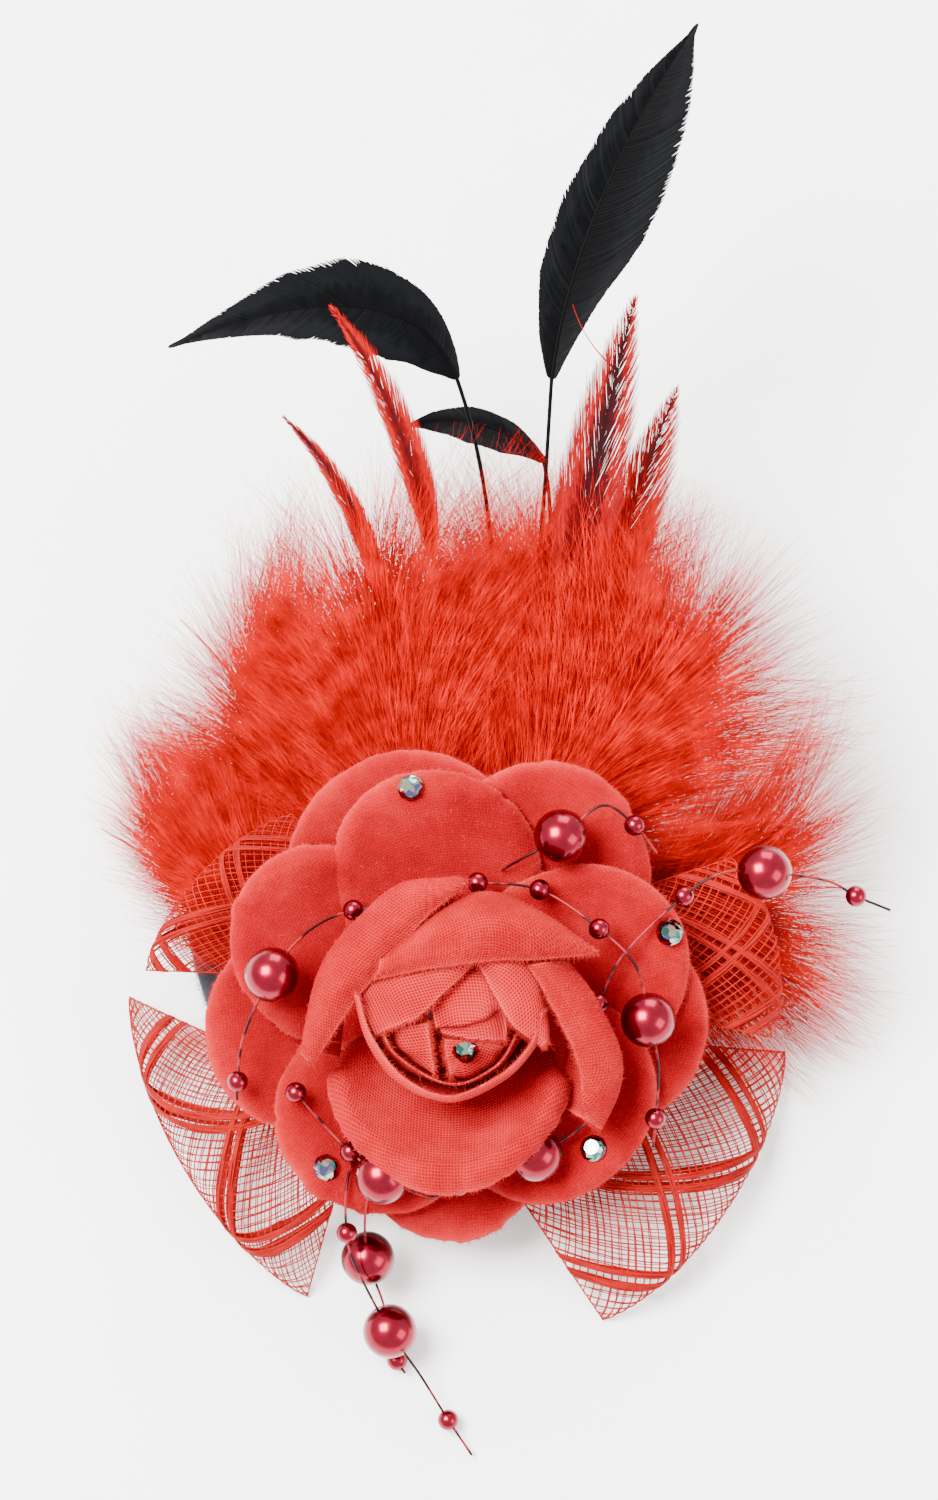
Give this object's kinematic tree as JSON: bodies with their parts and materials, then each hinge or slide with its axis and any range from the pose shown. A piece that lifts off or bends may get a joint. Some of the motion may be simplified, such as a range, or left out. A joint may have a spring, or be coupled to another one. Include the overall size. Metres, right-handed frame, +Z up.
{
  "type": "flower hair clip",
  "caption": "Cloth rose with folded mesh leaves, marabou, trimmed feathers, pearl sprays and crystals on a felt disc with a sprung alligator clip.",
  "frame": {"origin": "on the flat of the lower jaw, under the middle of the felt disc, where the clip lies on a table", "axes": "+Z up out of the table, +Y along the clip from its hinge toward its nose and up the flower toward the tall feather, +X to the right"},
  "size_m": [0.1191, 0.1966, 0.0748],
  "materials": {
    "jaw_steel": "bright plated",
    "pin_steel": "satin",
    "spring_steel": "drawn wire",
    "dark_felt": "pressed felt",
    "glue": "hot-melt glue",
    "rose_seat": "moulded",
    "mesh_cloth": "open woven mesh",
    "black_feather": "trimmed vane with a sheen",
    "red_hackle": "loose barbs",
    "red_marabou": "down",
    "brushed_petal": "brushed peach-skin cloth",
    "satin_petal": "woven satin",
    "nylon_line": "coated line",
    "pearl": "pearl lacquer",
    "crystal": "iridescent coat"
  },
  "bodies": {
    "flower": {"upper_jaw": "jaw_steel", "hinge_pin": "pin_steel", "jaw_spring": "spring_steel", "felt_base": "dark_felt", "glue_mound": "glue", "rose_stem": "rose_seat", "leaf_left_low": "mesh_cloth", "leaf_right_low": "mesh_cloth", "leaf_left_high": "mesh_cloth", "leaf_right_high": "mesh_cloth", "feather_tall": "black_feather", "feather_left": "black_feather", "feather_middle": "black_feather", "feather_right": "black_feather", "hackle_left": "red_hackle", "hackle_far_left": "red_hackle", "hackle_right": "red_hackle", "hackle_back": "red_hackle", "marabou_1": "red_marabou", "marabou_2": "red_marabou", "marabou_3": "red_marabou", "marabou_4": "red_marabou", "marabou_5": "red_marabou", "marabou_6": "red_marabou", "petal_back_1": "brushed_petal", "petal_back_2": "brushed_petal", "petal_back_3": "brushed_petal", "petal_back_4": "brushed_petal", "petal_back_5": "brushed_petal", "petal_front_1": "brushed_petal", "petal_front_2": "brushed_petal", "petal_front_3": "brushed_petal", "petal_front_4": "brushed_petal", "petal_front_5": "brushed_petal", "petal_cup_1": "brushed_petal", "petal_cup_2": "brushed_petal", "petal_cup_3": "brushed_petal", "petal_cup_4": "brushed_petal", "petal_bud_1": "satin_petal", "petal_bud_2": "satin_petal", "petal_bud_3": "satin_petal", "petal_bud_4": "satin_petal", "petal_heart_1": "satin_petal", "petal_heart_2": "satin_petal", "petal_heart_3": "satin_petal", "line_top": "nylon_line", "line_right": "nylon_line", "line_mid": "nylon_line", "line_left": "nylon_line", "line_low": "nylon_line", "line_drop": "nylon_line", "pearls_top": "pearl", "pearls_right": "pearl", "pearls_mid": "pearl", "pearls_left": "pearl", "pearls_low": "pearl", "pearls_drop": "pearl", "crystals": "crystal"},
    "lower_jaw": {"lower_jaw": "jaw_steel"}
  },
  "joints": [
    {"name": "jaw_hinge", "type": "hinge", "parent": "flower", "child": "lower_jaw", "pos_m": [0, -0.01, 0.0054], "axis": [-1, 0, 0], "range_deg": [0, 20], "stiffness_Nm_per_rad": 0.15, "springref_deg": -40.11, "deforming": ["jaw_spring"]}
  ]
}
